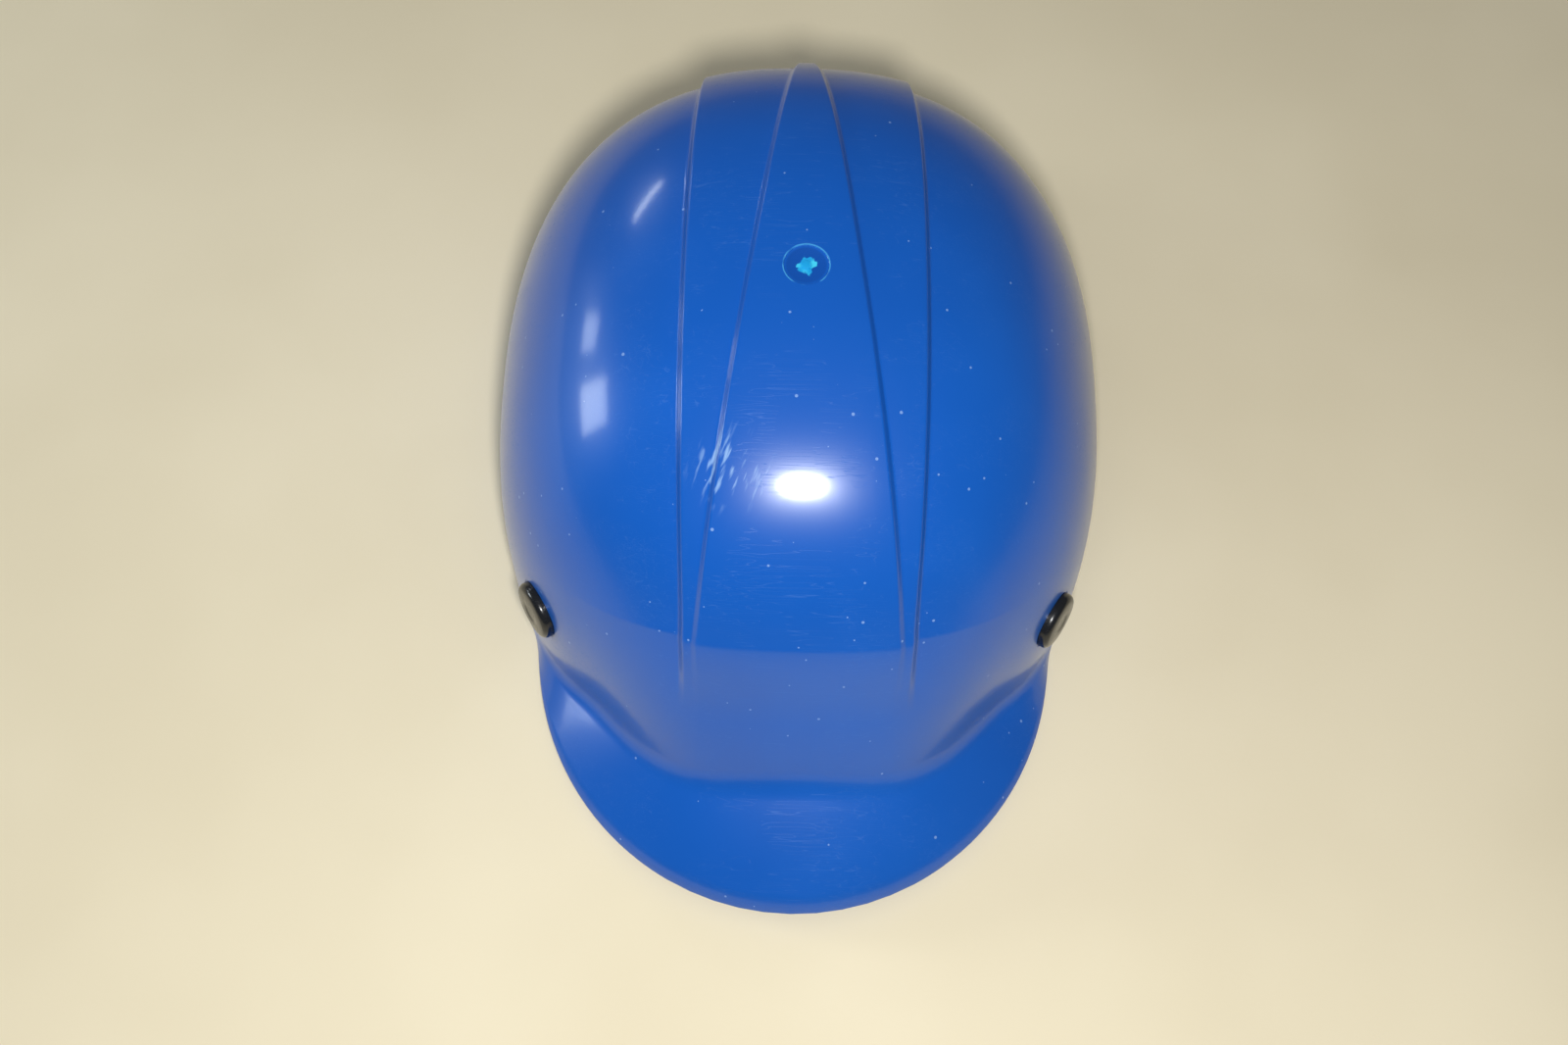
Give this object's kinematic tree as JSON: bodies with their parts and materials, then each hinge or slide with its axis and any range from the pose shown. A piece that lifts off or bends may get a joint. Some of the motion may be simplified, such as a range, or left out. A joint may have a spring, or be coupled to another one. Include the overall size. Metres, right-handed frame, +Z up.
{
  "type": "bump cap",
  "caption": "Light moulded bump cap: one-piece domed shell with a raised crown band and short peak, hung on side studs over a crossed strap cradle, with headband, brow pad and nape strap",
  "frame": {"origin": "under the middle of the bounding box, in the plane of the shell's rim, which is what the cap stands on", "axes": "+X to the wearer's right, +Y to the rear, so the peak points to -Y, and +Z up"},
  "size_m": [0.206, 0.2907, 0.1388],
  "materials": {
    "shell_blue": "smooth moulded polyethylene, glossy, with fine scuffs",
    "stud_black": "moulded nylon, semi-gloss",
    "cradle_plastic": "moulded polyethylene, fine matt grain",
    "webbing": "flat woven polyester webbing",
    "pad_vinyl": "soft vinyl cover over foam, fine grain"
  },
  "bodies": {
    "root": {"shell": "shell_blue", "stud_front_left": "stud_black", "stud_front_right": "stud_black", "stud_rear_left": "stud_black", "stud_rear_right": "stud_black", "cap_front_left": "stud_black", "cap_front_right": "stud_black", "cap_rear_left": "stud_black", "cap_rear_right": "stud_black", "key_front_left": "cradle_plastic", "key_front_right": "cradle_plastic", "key_rear_left": "cradle_plastic", "key_rear_right": "cradle_plastic", "strap_lower": "webbing", "strap_upper": "webbing", "crown_rivet": "stud_black", "crown_washer": "stud_black"},
    "headband": {"headband": "cradle_plastic", "lug_front_left": "stud_black", "lug_front_right": "stud_black", "lug_rear_left": "stud_black", "lug_rear_right": "stud_black", "brow_pad": "pad_vinyl"},
    "nape": {"nape_strap": "cradle_plastic", "knob_left": "stud_black", "knob_right": "stud_black"}
  },
  "joints": [
    {"name": "headband_lift", "type": "slide", "parent": "root", "child": "headband", "axis": [0, 0, 1], "range_m": [0, 0.008]},
    {"name": "nape_size", "type": "slide", "parent": "headband", "child": "nape", "axis": [0, -1, 0], "range_m": [0, 0.024]}
  ]
}
